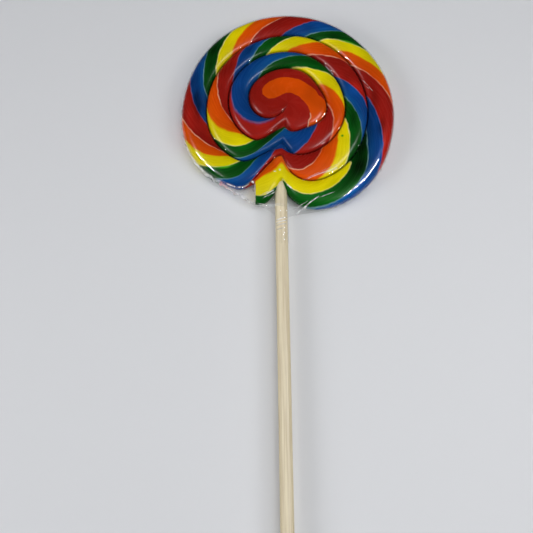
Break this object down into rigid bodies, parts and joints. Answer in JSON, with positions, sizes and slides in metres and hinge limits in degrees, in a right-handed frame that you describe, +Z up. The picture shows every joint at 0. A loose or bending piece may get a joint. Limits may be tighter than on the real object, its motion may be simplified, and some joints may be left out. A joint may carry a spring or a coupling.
{
  "type": "swirl lollipop",
  "caption": "Flat round lollipop of coiled rainbow candy rope on a wooden stick, in a clear film bag.",
  "frame": {"origin": "on the flat back of the bag, under the middle of the coil", "axes": "+Z up out of the shown face, -Y along the stick to its free end, +X to the right of the face with the stick pointing down"},
  "size_m": [0.1018, 0.3027, 0.0103],
  "materials": {
    "candy": "glossy hard candy in red, orange, yellow, green and blue stripes",
    "wood": "plain unvarnished birch",
    "film": "thin clear shrink film"
  },
  "bodies": {
    "root": {"candy": "candy", "stick": "wood", "wrapper": "film"}
  },
  "joints": []
}
